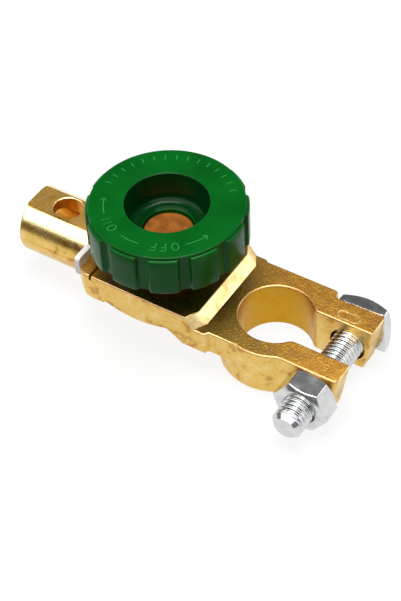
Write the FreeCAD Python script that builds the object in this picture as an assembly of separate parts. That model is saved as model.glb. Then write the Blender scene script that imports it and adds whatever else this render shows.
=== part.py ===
import FreeCAD, Part
import math
import os

# Battery terminal disconnect switch, in millimetres.
# A brass clamp casting grips the battery post and a brass lug casting takes the cable. A nylon
# tray keeps the two apart. The contact screw, turned by the knob, bridges them when it is screwed
# down and parts them when it is raised.
# Frame: the origin is on the axis of the post bore at the collar's bottom face, +Z is up along the
# bore, and +X points to the clamp's jaws, so the cable barrel lies towards -X.

# Post collar and jaws of the clamp casting
post_bore_r = 9.4
collar_r = 14.3
collar_edge_r = 0.9
clamp_top = 13.2
slot_half_w = 5.6
throat_r = 2.2
jaw_step = 2.05
jaw_reach = 23.6
jaw_rake = 2.2
jaw_corner_r = 1.1
jaw_root_r = 4.0
shoulder_gap = 0.8
shoulder_r = 1.3
neck_step = 0.4
rear_step = 0.1
neck_t = 6.5
top_edge_r = 0.45

# Clamp bolt and nut
bolt_r = 4.0
bolt_inset = 6.5
bolt_z = 6.7
bolt_hole_r = 4.8
bolt_hole_shift = 0.3
bolt_hole_drop = 0.7
spanner_flats = 13.0
crown_chamfer_deg = 30.0
crown_step = 0.4
blank_allowance = 1.0
nut_t = 6.8
nut_turn_deg = -4.5
head_t = 3.7
head_corner_r = 0.8
head_turn_deg = 3.5
bolt_tail = 6.4
bolt_tip_chamfer = 1.0
nut_bore_gap = 0.05

# Switch block of the clamp casting, measured from the knob's axis
knob_to_post = 30.5
block_step = 3.1
block_half_w = 15.0
block_left = 18.4
block_right = 15.4
block_flange = 19.0
ramp_run = 2.4
corner_cut_x = 2.0
corner_cut_y = 3.6
heel_cut_x = 2.2
heel_cut_y = 1.5
heel_r = 4.8
skirt_drop = 7.5
notch_drop = 6.8
belly_drop = 8.4
belly_mid_x = -1.4
belly_half_l = 8.8
notch_w = 0.9
skirt_rise_l = 4.2
flange_corner_x = 0.6
skirt_t = 3.0
block_t = 4.4
channel_end = 16.3
groove_x = 14.4
groove_w = 0.8
groove_depth = 1.4

# Cable lug casting
barrel_r = 8.8
barrel_l = 21.6
barrel_drop = 4.8
barrel_flat_h = 7.8
barrel_edge_r = 0.6
cable_bore_r = 5.0
cable_bore_l = 17.0
set_hole_r = 3.85
set_hole_inset = 10.1
tongue_side_gap = 1.25
tongue_t = 6.4
tongue_corner_r = 4.0

# Insulating tray and bush
wall_t = 1.5
wall_inset = 1.4
wall_rise = 2.6
wall_corner_r = 1.0
sheet_t = 1.2
lip_t = 1.0
lip_h = 2.4
tray_gap = 0.15
bush_outer_r = 7.6
bush_inner_r = 6.3
bush_top_drop = 0.5
bush_gap = 0.05

# Contact screw
screw_shank_r = 6.0
screw_thread_gap = 0.05
screw_tail = 2.0
screw_tip_chamfer = 0.8
contact_r = 10.0
contact_t = 3.2
screw_head_r = 6.55
screw_head_sink = 1.0
screw_head_chamfer = 0.5

# Knob
knob_r = 20.0
knob_h = 11.3
knob_rise = 8.4
knob_lobes = 12
lobe_share = 0.62
groove_cut = 1.15
crest_edge = 0.6
cap_step = 0.75
cap_t = 0.7
cap_edge = 0.3
knob_bottom_edge = 0.5
recess_r = 10.4
recess_floor_r = 10.0
recess_depth = 8.2
recess_rim = 0.4
recess_root_r = 1.8
lip_w = 0.9
lip_rise = 0.35
lip_slope = 0.4
hub_r = 11.5
hub_root = 2.0
hub_gap = 0.05
knob_head_gap = 0.05
knob_wall = 2.5
knob_top_t = 2.8
knob_inner_wall = 2.6
knob_ribs = 6
knob_rib_t = 1.6

# Fixing screws of the tongue
fixing_front_x = 10.6
fixing_rear_x = 11.6
fixing_r = 1.5
fixing_l = 9.0
fixing_head_r = 2.75
fixing_head_t = 1.8
fixing_slot_w = 0.8
fixing_slot_depth = 0.8
fixing_hole_end = 0.9
fixing_thread_gap = 0.03
fixing_sleeve_r = 2.3
fixing_sleeve_gap = 0.05
fixing_flange_r = 3.2
fixing_flange_t = 0.7
fixing_washer_r = 3.05
fixing_washer_t = 0.5
counterbore_r = 3.4
counterbore_depth = 2.6

# Levels and places worked out from the sizes above
block_top = clamp_top + block_step
block_bottom = block_top - block_t
sheet_bottom = block_bottom - sheet_t
tongue_bottom = sheet_bottom - tongue_t
neck_bottom = clamp_top - neck_t
neck_half_w = collar_r - neck_step
rear_edge_y = collar_r + rear_step
jaw_half_w = collar_r - jaw_step
bolt_x = jaw_reach - bolt_inset
shoulder_x = bolt_x - spanner_flats / 2 - shoulder_gap
knob_x = -knob_to_post
block_left_x = knob_x - block_left
wall_left_x = block_left_x - wall_t
barrel_left_x = wall_left_x - barrel_l
barrel_z = block_top - barrel_drop
flange_start_x = knob_x + belly_mid_x + belly_half_l + notch_w + skirt_rise_l
ramp_foot_z = clamp_top - top_edge_r
ramp_shift = ramp_run * (block_top - ramp_foot_z) / block_step
channel_half_w = block_half_w - skirt_t
channel_end_x = knob_x + channel_end
tongue_half_w = channel_half_w - tray_gap - lip_t - tongue_side_gap
wall_half_w = block_half_w - wall_inset
knob_bottom = block_top + knob_rise
knob_top = knob_bottom + knob_h
recess_floor = knob_top - recess_depth
contact_top = block_top + contact_t
hub_bottom = contact_top + hub_gap
hub_bore_r = screw_head_r + knob_head_gap
counterbore_top = tongue_bottom + counterbore_depth
fixing_places = {"front": knob_x + fixing_front_x, "rear": knob_x - fixing_rear_x}
wing_bottom = block_top - skirt_drop + heel_r
margin = 5.0


def vec(x, y, z=0.0):
    return FreeCAD.Vector(x, y, z)


def cylinder(radius, height, x, y, z, axis=(0, 0, 1)):
    return Part.makeCylinder(radius, height, vec(x, y, z), vec(*axis))


def tube(outer_r, inner_r, height, x, y, z):
    """A ring of the given height, standing on the level z."""
    ring = cylinder(outer_r, height, x, y, z)
    return ring.cut(cylinder(inner_r, height, x, y, z))


def box(x0, x1, y0, y1, z0, z1):
    return Part.makeBox(x1 - x0, y1 - y0, z1 - z0, vec(x0, y0, z0))


def prism(points, direction):
    """A closed polygon of 3-D points, extruded along a vector."""
    outline = Part.makePolygon(points + [points[0]])
    return Part.Face(outline).extrude(direction)


def revolve(profile, x, y):
    """A solid turned about the vertical line through (x, y) from (radius, height) points."""
    points = [vec(x + radius, y, height) for radius, height in profile]
    outline = Part.makePolygon(points + [points[0]])
    return Part.Face(outline).revolve(vec(x, y, 0), vec(0, 0, 1), 360)


def fuse(shapes):
    """One solid from shapes that meet, with coplanar faces merged."""
    return shapes[0].fuse(shapes[1:]).removeSplitter()


def round_edges(shape, radius, wanted):
    """Fillets the edges for which wanted(edge) is true."""
    return shape.makeFillet(radius, [edge for edge in shape.Edges if wanted(edge)])


def is_upright(edge):
    first, last = edge.Vertexes[0].Point, edge.Vertexes[-1].Point
    return abs(first.x - last.x) + abs(first.y - last.y) < 1e-4 and abs(first.z - last.z) > 1


def upright_near(x, half_y, reach=0.6):
    """A test for upright edges close to the mirrored places (x, +-half_y)."""
    def wanted(edge):
        point = edge.CenterOfMass
        return is_upright(edge) and math.hypot(point.x - x, abs(point.y) - half_y) < reach
    return wanted


def at_level(edge, z):
    return abs(edge.BoundBox.ZMin - z) < 1e-4 and abs(edge.BoundBox.ZMax - z) < 1e-4


def side_profile():
    """Side view of the switch block: heel, skirt with its belly between two notches, flange."""
    heel_x = block_left_x
    low = block_top - skirt_drop
    notch = block_top - notch_drop
    middle = knob_x + belly_mid_x
    belly_start = middle - belly_half_l
    belly_end = middle + belly_half_l
    heel_mid = heel_r * (1 - math.sqrt(0.5))
    corners = [
        vec(heel_x, 0, block_top),
        vec(heel_x, 0, low + heel_r),
        vec(heel_x + heel_r, 0, low),
        vec(belly_start - notch_w, 0, low),
        vec(belly_start, 0, notch),
        vec(belly_end, 0, notch),
        vec(belly_end + notch_w, 0, notch),
        vec(flange_start_x, 0, neck_bottom),
        vec(flange_start_x, 0, ramp_foot_z),
        vec(knob_x + block_right + ramp_shift, 0, ramp_foot_z),
        vec(knob_x + block_right, 0, block_top),
    ]
    arcs = {
        1: vec(heel_x + heel_mid, 0, low + heel_mid),
        4: vec(middle, 0, block_top - belly_drop),
    }
    edges = []
    for index, start in enumerate(corners):
        end = corners[(index + 1) % len(corners)]
        if index in arcs:
            edges.append(Part.Arc(start, arcs[index], end).toShape())
        else:
            edges.append(Part.LineSegment(start, end).toShape())
    return Part.Face(Part.Wire(edges))


def switch_block():
    """The raised block with its raked right end, cut corners and cross groove."""
    profile = side_profile()
    profile.translate(vec(0, -block_half_w, 0))
    block = profile.extrude(vec(0, 2 * block_half_w, 0))
    right = knob_x + block_right
    for side in (-1, 1):
        edge_y = side * block_half_w
        outside = edge_y + side * margin
        top_corner = prism(
            [
                vec(right - corner_cut_x, edge_y, block_top),
                vec(right, edge_y - side * corner_cut_y, block_top),
                vec(right + margin, edge_y - side * corner_cut_y, block_top),
                vec(right + margin, outside, block_top),
                vec(right - corner_cut_x, outside, block_top),
            ],
            vec(ramp_shift, 0, ramp_foot_z - block_top),
        )
        heel_corner = prism(
            [
                vec(block_left_x, edge_y - side * heel_cut_y, 0),
                vec(block_left_x + heel_cut_x, edge_y, 0),
                vec(block_left_x + heel_cut_x, outside, 0),
                vec(block_left_x - margin, outside, 0),
                vec(block_left_x - margin, edge_y - side * heel_cut_y, 0),
            ],
            vec(0, 0, block_top + margin),
        )
        block = block.cut([top_corner, heel_corner])
    edges_up = [e for e in block.Edges if at_level(e, block_top)]
    block = block.makeFillet(top_edge_r, edges_up)
    groove_left = knob_x - groove_x - groove_w / 2
    groove = box(
        groove_left, groove_left + groove_w,
        -block_half_w - margin, block_half_w + margin,
        block_top - groove_depth, block_top + margin,
    )
    return block.cut(groove)


def corner_web(circle_r, line_y, web_r, z0, z1, sides):
    """Fills the corner between a circle at the origin and a line along X, on the given sides."""
    reach = circle_r + web_r
    centre_x = math.sqrt(reach ** 2 - (line_y + web_r) ** 2)
    webs = []
    for side in sides:
        centre = vec(centre_x, side * (line_y + web_r), z0)
        on_circle = vec(centre.x * circle_r / reach, centre.y * circle_r / reach, z0)
        on_line = vec(centre_x, side * line_y, z0)
        between = (on_circle + on_line) * 0.5 - centre
        middle = centre + between * (web_r / between.Length)
        inside = vec(0, 0, z0)
        edges = [
            Part.Arc(on_circle, middle, on_line).toShape(),
            Part.LineSegment(on_line, inside).toShape(),
            Part.LineSegment(inside, on_circle).toShape(),
        ]
        webs.append(Part.Face(Part.Wire(edges)).extrude(vec(0, 0, z1 - z0)))
    return webs


def clamp_end():
    """Flange, neck, post collar and jaws, with the bore and slot cut and the rims rounded."""
    flange_x = knob_x + block_flange
    flange = prism(
        [
            vec(flange_start_x, -block_half_w, neck_bottom),
            vec(flange_x, -block_half_w, neck_bottom),
            vec(flange_x + flange_corner_x, -neck_half_w, neck_bottom),
            vec(flange_x + flange_corner_x, rear_edge_y, neck_bottom),
            vec(flange_x, block_half_w, neck_bottom),
            vec(flange_start_x, block_half_w, neck_bottom),
        ],
        vec(0, 0, neck_t),
    )
    neck = box(flange_x, 0, -neck_half_w, 0, neck_bottom, clamp_top)
    rear = box(flange_x, shoulder_x, 0, rear_edge_y, neck_bottom, clamp_top)
    rear = round_edges(rear, shoulder_r, upright_near(shoulder_x, rear_edge_y))
    collar = cylinder(collar_r, clamp_top, 0, 0, 0)
    collar = round_edges(collar, collar_edge_r, lambda edge: at_level(edge, 0))
    jaws = prism(
        [
            vec(0, -jaw_half_w, 0),
            vec(jaw_reach - jaw_rake, -jaw_half_w, 0),
            vec(jaw_reach, -jaw_half_w, clamp_top),
            vec(0, -jaw_half_w, clamp_top),
        ],
        vec(0, 2 * jaw_half_w, 0),
    )
    roots = corner_web(collar_r, jaw_half_w, jaw_root_r, 0, clamp_top, sides=(-1, 1))
    body = fuse([flange, neck, rear, collar, jaws] + roots)

    def jaw_corner(edge):
        is_end = edge.CenterOfMass.x > jaw_reach - jaw_rake - 1
        return is_end and edge.BoundBox.ZLength > clamp_top / 2

    def outer_rim(edge):
        return at_level(edge, clamp_top) and edge.BoundBox.XMax > flange_start_x + 1e-3

    body = round_edges(body, jaw_corner_r, jaw_corner)
    body = round_edges(body, top_edge_r, outer_rim)
    low = -margin
    high = clamp_top + margin
    bore = cylinder(post_bore_r, high - low, 0, 0, low)
    slot = box(0, jaw_reach + margin, -slot_half_w, slot_half_w, low, high)
    throat = corner_web(post_bore_r, slot_half_w, throat_r, low, high, sides=(-1, 1))
    body = body.cut(fuse([bore, slot] + throat)).removeSplitter()

    def inner_rim(edge):
        inside = math.hypot(edge.BoundBox.XMin, edge.BoundBox.YMax) < collar_r
        along_slot = edge.BoundBox.YLength < 1e-4 and abs(edge.BoundBox.YMax) < slot_half_w + 1e-3
        return at_level(edge, clamp_top) and (inside or along_slot)

    body = round_edges(body, top_edge_r, inner_rim)
    hole = cylinder(
        bolt_hole_r, 2 * (jaw_half_w + margin),
        bolt_x - bolt_hole_shift, -jaw_half_w - margin, bolt_z - bolt_hole_drop,
        axis=(0, 1, 0),
    )
    return body.cut(hole)


def clamp_casting():
    casting = fuse([switch_block(), clamp_end()])
    channel = box(
        block_left_x - margin, channel_end_x, -channel_half_w, channel_half_w, 0, block_bottom
    )
    bush_hole = cylinder(bush_outer_r + bush_gap, block_t + margin, knob_x, 0, block_bottom)
    holes = [channel, bush_hole]
    for x in fixing_places.values():
        depth = block_t - fixing_hole_end
        holes.append(cylinder(fixing_r + fixing_thread_gap, depth, x, 0, block_bottom))
    return casting.cut(holes)


def lug_casting():
    """The cable barrel with its flat and the tongue that runs under the switch plate."""
    barrel = cylinder(barrel_r, barrel_l, barrel_left_x, 0, barrel_z, axis=(1, 0, 0))
    barrel = round_edges(
        barrel, barrel_edge_r, lambda edge: abs(edge.BoundBox.XMax - barrel_left_x) < 1e-4
    )
    over_flat = box(
        barrel_left_x - margin, wall_left_x + margin, -barrel_r, barrel_r,
        barrel_z + barrel_flat_h, barrel_z + barrel_r + margin,
    )
    barrel = barrel.cut(over_flat)
    tongue_x = channel_end_x - tray_gap - lip_t - tray_gap
    tongue = box(
        wall_left_x - barrel_edge_r, tongue_x, -tongue_half_w, tongue_half_w,
        tongue_bottom, sheet_bottom,
    )
    tongue = round_edges(tongue, tongue_corner_r, upright_near(tongue_x, tongue_half_w))
    lug = fuse([barrel, tongue])
    holes = [
        cylinder(cable_bore_r, cable_bore_l, barrel_left_x, 0, barrel_z, axis=(1, 0, 0)),
        cylinder(set_hole_r, barrel_r + margin, barrel_left_x + set_hole_inset, 0, barrel_z),
        cylinder(screw_shank_r + screw_thread_gap, tongue_t, knob_x, 0, tongue_bottom),
    ]
    for x in fixing_places.values():
        sleeve_hole_r = fixing_sleeve_r + fixing_sleeve_gap
        holes.append(cylinder(sleeve_hole_r, tongue_t, x, 0, tongue_bottom))
        holes.append(cylinder(counterbore_r, counterbore_depth, x, 0, tongue_bottom))
    return lug.cut(holes)


def insulator():
    """The end wall and the tray under the plate, moulded as one."""
    wall_top = block_top + wall_rise
    wings = box(wall_left_x, block_left_x, -wall_half_w, wall_half_w, wing_bottom, wall_top)
    wings = round_edges(
        wings, wall_corner_r,
        lambda edge: edge.CenterOfMass.z > wall_top - 1e-4 and edge.BoundBox.YLength < 1e-4,
    )
    edge_y = channel_half_w - tray_gap
    end_x = channel_end_x - tray_gap
    web = box(wall_left_x, block_left_x, -edge_y, edge_y, sheet_bottom, wing_bottom)
    sheet = box(block_left_x, end_x, -edge_y, edge_y, sheet_bottom, block_bottom)
    lip_bottom = sheet_bottom - lip_h
    front_lip = box(block_left_x, end_x, -edge_y, lip_t - edge_y, lip_bottom, sheet_bottom)
    rear_lip = box(block_left_x, end_x, edge_y - lip_t, edge_y, lip_bottom, sheet_bottom)
    end_lip = box(end_x - lip_t, end_x, -edge_y, edge_y, lip_bottom, sheet_bottom)
    tray = fuse([wings, web, sheet, front_lip, rear_lip, end_lip])
    holes = [cylinder(bush_outer_r + bush_gap, sheet_t, knob_x, 0, sheet_bottom)]
    for x in fixing_places.values():
        holes.append(cylinder(fixing_r + fixing_sleeve_gap, sheet_t, x, 0, sheet_bottom))
    return tray.cut(holes)


def screw_bush():
    """Stands on the tongue and lines the plate's hole, just below the contact face."""
    height = block_top - bush_top_drop - sheet_bottom
    return tube(bush_outer_r, bush_inner_r, height, knob_x, 0, sheet_bottom)


def contact_screw():
    """Turned in one piece: threaded shank, contact flange and the round head held in the knob."""
    tip = tongue_bottom - screw_tail
    head_top = recess_floor - screw_head_sink
    return revolve(
        [
            (0, tip),
            (screw_shank_r - screw_tip_chamfer, tip),
            (screw_shank_r, tip + screw_tip_chamfer),
            (screw_shank_r, block_top),
            (contact_r, block_top),
            (contact_r, contact_top),
            (screw_head_r, contact_top),
            (screw_head_r, head_top - screw_head_chamfer),
            (screw_head_r - screw_head_chamfer, head_top),
            (0, head_top),
        ],
        knob_x, 0,
    )


def lobed_outline(z):
    """The knob's grip in plan: crests on the full radius, with a shallow hollow between each."""
    pitch = 2 * math.pi / knob_lobes
    half_crest = pitch * lobe_share / 2

    def spot(radius, angle):
        return vec(knob_x + radius * math.cos(angle), radius * math.sin(angle), z)

    edges = []
    for index in range(knob_lobes):
        middle = index * pitch
        crest_end = spot(knob_r, middle + half_crest)
        crest = Part.Arc(spot(knob_r, middle - half_crest), spot(knob_r, middle), crest_end)
        next_crest = spot(knob_r, middle + pitch - half_crest)
        hollow = Part.Arc(crest_end, spot(knob_r - groove_cut, middle + pitch / 2), next_crest)
        edges.append(crest.toShape())
        edges.append(hollow.toShape())
    return Part.Face(Part.Wire(edges))


def knob():
    """Moulded knob: lobed grip under a round cap, deep recess, hub round the screw's head."""
    crest_top = knob_top - cap_t
    grip = lobed_outline(knob_bottom).extrude(vec(0, 0, crest_top - knob_bottom))
    turned = revolve(
        [
            (0, knob_bottom),
            (knob_r - knob_bottom_edge, knob_bottom),
            (knob_r, knob_bottom + knob_bottom_edge),
            (knob_r, crest_top - crest_edge),
            (knob_r - crest_edge, crest_top),
            (0, crest_top),
        ],
        knob_x, 0,
    )
    cap_r = knob_r - cap_step
    cap = revolve(
        [
            (0, crest_top),
            (cap_r, crest_top),
            (cap_r, knob_top - cap_edge),
            (cap_r - cap_edge, knob_top),
            (0, knob_top),
        ],
        knob_x, 0,
    )
    body = fuse([grip.common(turned), cap])
    lip_r = hub_bore_r + lip_w
    lip_top = recess_floor + lip_rise
    recess = revolve(
        [
            (0, lip_top),
            (lip_r, lip_top),
            (lip_r + lip_slope, recess_floor),
            (recess_floor_r, recess_floor),
            (recess_r, knob_top - recess_rim),
            (recess_r + recess_rim, knob_top),
            (recess_r + recess_rim, knob_top + margin),
            (0, knob_top + margin),
        ],
        knob_x, 0,
    )
    recess = round_edges(
        recess, recess_root_r,
        lambda edge: at_level(edge, recess_floor) and edge.BoundBox.XLength > 2 * recess_floor_r - 1e-3,
    )
    pocket_outer_r = knob_r - groove_cut - knob_wall
    pocket_inner_r = recess_r + knob_inner_wall
    pocket_h = knob_h - knob_top_t
    pocket = tube(pocket_outer_r, pocket_inner_r, pocket_h, knob_x, 0, knob_bottom)
    rib = box(0, knob_r, -knob_rib_t / 2, knob_rib_t / 2, knob_bottom, knob_top)
    for index in range(knob_ribs):
        turned_rib = rib.copy()
        turned_rib.rotate(vec(0, 0, 0), vec(0, 0, 1), 360 * (index + 0.5) / knob_ribs)
        turned_rib.translate(vec(knob_x, 0, 0))
        pocket = pocket.cut(turned_rib)
    body = body.cut([recess, pocket])
    hub = cylinder(hub_r, knob_bottom + hub_root - hub_bottom, knob_x, 0, hub_bottom)
    hub_bore = cylinder(hub_bore_r, knob_h + knob_rise, knob_x, 0, hub_bottom)
    return fuse([body, hub]).cut(hub_bore)


def crowned_blank(sides, turn_deg, y0, y1, crowned_faces):
    """A prism along Y on the bolt's axis, turned off at the corners of its crowned faces."""
    corner_r = spanner_flats / 2 / math.cos(math.pi / sides)
    points = []
    for index in range(sides):
        angle = math.radians(turn_deg) + (index + 0.5) * 2 * math.pi / sides + math.pi / 2
        points.append(vec(bolt_x + corner_r * math.cos(angle), y0, bolt_z + corner_r * math.sin(angle)))
    blank = prism(points, vec(0, y1 - y0, 0))
    crown_r = spanner_flats / 2 - crown_step
    bar_r = corner_r + blank_allowance
    reach = (bar_r - crown_r) * math.tan(math.radians(crown_chamfer_deg))
    for face in crowned_faces:
        inward = vec(0, 1 if face == y0 else -1, 0)
        tip = vec(bolt_x, face, bolt_z)
        crown = Part.makeCone(crown_r, bar_r, reach, tip, inward)
        bar = Part.makeCylinder(bar_r, y1 - y0, tip + inward * reach, inward)
        blank = blank.common(crown.fuse(bar))
    return blank


def clamp_bolt():
    """Square-head bolt through both jaws, its head beside the shoulder; the thread is smooth."""
    head_face = jaw_half_w + head_t
    head = crowned_blank(4, head_turn_deg, jaw_half_w, head_face, [head_face])
    head = round_edges(
        head, head_corner_r,
        lambda edge: edge.BoundBox.YLength > head_t / 3 and edge.BoundBox.DiagonalLength < head_t,
    )
    tip_y = -jaw_half_w - nut_t - bolt_tail
    shank_l = jaw_half_w - tip_y
    shank = cylinder(bolt_r, shank_l, bolt_x, tip_y, bolt_z, axis=(0, 1, 0))
    shank = shank.makeChamfer(
        bolt_tip_chamfer, [e for e in shank.Edges if abs(e.BoundBox.YMax - tip_y) < 1e-4]
    )
    return fuse([head, shank])


def clamp_nut():
    """Hexagon nut with both faces crowned, turned a little as it came to rest when tightened."""
    outer_y = -jaw_half_w - nut_t
    nut = crowned_blank(6, nut_turn_deg, outer_y, -jaw_half_w, [outer_y, -jaw_half_w])
    bore = cylinder(bolt_r + nut_bore_gap, nut_t, bolt_x, outer_y, bolt_z, axis=(0, 1, 0))
    return nut.cut(bore)


def fixing_screw(x):
    """Slotted screw from below, through the sleeve and tray into the switch plate."""
    head_top = counterbore_top - fixing_flange_t - fixing_washer_t
    head_bottom = head_top - fixing_head_t
    head = cylinder(fixing_head_r, fixing_head_t, x, 0, head_bottom)
    shank = cylinder(fixing_r, fixing_l, x, 0, head_top)
    driver_slot = box(
        x - fixing_head_r, x + fixing_head_r, -fixing_slot_w / 2, fixing_slot_w / 2,
        head_bottom, head_bottom + fixing_slot_depth,
    )
    return fuse([head, shank]).cut(driver_slot)


def fixing_sleeve(x):
    """Nylon shoulder sleeve: its flange seats in the counterbore, its tube lines the hole."""
    bore_r = fixing_r + fixing_sleeve_gap
    tube_h = sheet_bottom - counterbore_top
    flange = tube(fixing_flange_r, bore_r, fixing_flange_t, x, 0, counterbore_top - fixing_flange_t)
    return fuse([flange, tube(fixing_sleeve_r, bore_r, tube_h, x, 0, counterbore_top)])


def fixing_washer(x):
    bottom = counterbore_top - fixing_flange_t - fixing_washer_t
    return tube(fixing_washer_r, fixing_r + fixing_sleeve_gap, fixing_washer_t, x, 0, bottom)


def main():
    pieces = {
        "clamp_casting": clamp_casting(),
        "lug_casting": lug_casting(),
        "insulator": insulator(),
        "screw_bush": screw_bush(),
        "contact_screw": contact_screw(),
        "knob": knob(),
        "clamp_bolt": clamp_bolt(),
        "clamp_nut": clamp_nut(),
    }
    for place, x in fixing_places.items():
        pieces["fixing_screw_" + place] = fixing_screw(x)
        pieces["fixing_sleeve_" + place] = fixing_sleeve(x)
        pieces["fixing_washer_" + place] = fixing_washer(x)
    os.makedirs("parts", exist_ok=True)
    for node, shape in pieces.items():
        print(node, len(shape.Solids), "solid,", round(shape.Volume), "mm3, valid", shape.isValid())
        shape.exportStep("parts/" + node + ".step")


main()
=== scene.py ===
import math
import bmesh
import bpy
from mathutils import Matrix, Vector


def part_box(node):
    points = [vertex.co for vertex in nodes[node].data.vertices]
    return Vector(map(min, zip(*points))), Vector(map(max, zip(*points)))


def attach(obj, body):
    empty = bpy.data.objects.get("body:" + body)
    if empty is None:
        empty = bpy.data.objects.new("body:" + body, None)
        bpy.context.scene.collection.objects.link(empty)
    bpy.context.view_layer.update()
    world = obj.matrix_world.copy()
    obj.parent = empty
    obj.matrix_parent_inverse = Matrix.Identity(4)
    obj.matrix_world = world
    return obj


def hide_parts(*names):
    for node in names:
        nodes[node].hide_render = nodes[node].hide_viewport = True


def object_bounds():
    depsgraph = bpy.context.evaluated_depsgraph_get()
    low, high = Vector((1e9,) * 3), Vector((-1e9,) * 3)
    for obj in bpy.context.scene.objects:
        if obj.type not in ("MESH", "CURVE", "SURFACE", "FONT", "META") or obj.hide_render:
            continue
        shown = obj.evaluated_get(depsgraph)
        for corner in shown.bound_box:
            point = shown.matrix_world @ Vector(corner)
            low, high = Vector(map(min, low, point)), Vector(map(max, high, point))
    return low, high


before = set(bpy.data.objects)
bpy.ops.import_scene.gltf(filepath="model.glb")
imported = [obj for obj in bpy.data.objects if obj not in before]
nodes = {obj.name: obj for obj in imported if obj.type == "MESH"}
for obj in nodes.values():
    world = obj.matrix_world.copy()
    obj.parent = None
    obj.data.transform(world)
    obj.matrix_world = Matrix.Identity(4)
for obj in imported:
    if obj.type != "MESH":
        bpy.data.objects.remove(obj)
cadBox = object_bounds()
scene = bpy.context.scene
mm = 0.001
print("frame loaded with", len(nodes), "nodes")

# Axes of the object, read from the frame
knobLow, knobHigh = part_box("knob")
knobAxis = Vector(((knobLow.x + knobHigh.x) / 2, 0, 0))
boltLow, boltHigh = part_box("clamp_bolt")
nutLow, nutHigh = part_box("clamp_nut")
boltAxis = Vector(((boltLow.x + boltHigh.x) / 2, 0, (boltLow.z + boltHigh.z) / 2))
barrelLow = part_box("lug_casting")[0]


# Small tools

def toLinear(hexCode):
    channels = [int(hexCode[i:i + 2], 16) / 255 for i in (1, 3, 5)]
    linear = [c / 12.92 if c <= 0.04045 else ((c + 0.055) / 1.055) ** 2.4 for c in channels]  # sRGB curve
    return (*linear, 1.0)


def setInputs(node, inputs):
    # a tuple fills the sockets in order; a node stands for its first output in use, a string for a hex colour
    for socket, value in inputs.items() if isinstance(inputs, dict) else enumerate(inputs):
        if isinstance(value, bpy.types.Node):
            value = next(output for output in value.outputs if output.enabled)
        if isinstance(value, bpy.types.NodeSocket):
            node.id_data.links.new(value, node.inputs[socket])
        else:
            node.inputs[socket].default_value = toLinear(value) if isinstance(value, str) else value


def addNode(tree, kind, inputs=(), stops=(), **settings):
    node = tree.nodes.new(kind)
    for name, value in settings.items():
        setattr(node, name, value)
    setInputs(node, inputs)
    for index, (place, color) in enumerate(stops):  # stops of a colour ramp
        element = node.color_ramp.elements[index] if index < 2 else node.color_ramp.elements.new(place)
        element.position = place
        element.color = toLinear(color) if isinstance(color, str) else color
    return node


def newMaterial(name):
    material = bpy.data.materials.new(name)
    material.use_nodes = True
    tree = material.node_tree
    return material, tree, tree.nodes["Principled BSDF"]


def perGrain(sizeMm):
    return 1 / (sizeMm * mm)  # noise scale for features of that size


def newObject(name, data):
    piece = bpy.data.objects.new(name, data)
    scene.collection.objects.link(piece)
    return piece


def newTree(name, labels):
    tree = bpy.data.node_groups.new(name, "GeometryNodeTree")
    tree.interface.new_socket("Geometry", in_out="INPUT", socket_type="NodeSocketGeometry")
    for label in labels:
        tree.interface.new_socket(label, in_out="INPUT", socket_type="NodeSocketFloat")
    tree.interface.new_socket("Material", in_out="INPUT", socket_type="NodeSocketMaterial")
    tree.interface.new_socket("Geometry", in_out="OUTPUT", socket_type="NodeSocketGeometry")
    return tree, addNode(tree, "NodeGroupInput").outputs


def closeTree(tree, size, geometry):
    real = addNode(tree, "GeometryNodeRealizeInstances", (geometry,))
    painted = addNode(tree, "GeometryNodeSetMaterial", {"Geometry": real, "Material": size["Material"]})
    addNode(tree, "NodeGroupOutput", (painted,))


def runTree(piece, tree, sizes, material):
    modifier = piece.modifiers.new(tree.name, "NODES")
    modifier.node_group = tree
    sockets = {s.name: s.identifier for s in tree.interface.items_tree if s.in_out == "INPUT"}
    for label, value in sizes.items():
        modifier[sockets[label]] = value
    modifier[sockets["Material"]] = material
    return applyAll(piece)


def finalMesh(piece):
    depsgraph = bpy.context.evaluated_depsgraph_get()
    return bpy.data.meshes.new_from_object(piece.evaluated_get(depsgraph))


def applyAll(piece):
    mesh = finalMesh(piece)
    piece.modifiers.clear()
    piece.data = mesh
    mesh.name = piece.name
    return piece


def freshMesh(bm, name):
    mesh = bpy.data.meshes.new(name)
    bm.to_mesh(mesh)
    bm.free()
    for label in ("custom_normal", "sharp_face", "sharp_edge"):
        if label in mesh.attributes:
            mesh.attributes.remove(mesh.attributes[label])
    return mesh


def smoothAll(piece, sharpDeg):
    piece.data.shade_smooth()
    piece.data.set_sharp_from_angle(angle=math.radians(sharpDeg))
    return piece


def roundEdges(piece, edgeMm, segments, fromDeg, sharpDeg):
    bevel = piece.modifiers.new("edge", "BEVEL")
    bevel.width = edgeMm * mm
    bevel.segments = segments
    bevel.limit_method = "ANGLE"
    bevel.angle_limit = math.radians(fromDeg)
    applyAll(piece).data.shade_smooth()
    piece.modifiers.new("weights", "WEIGHTED_NORMAL")  # large faces stay flat, the edge's small ones bend
    return smoothAll(applyAll(piece), sharpDeg)


def dress(piece, material):
    piece.data.materials.clear()
    piece.data.materials.append(material)


def finishPiece(piece, body, slot, *replaced):
    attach(piece, body)
    if replaced:
        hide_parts(*replaced)


# Materials

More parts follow.
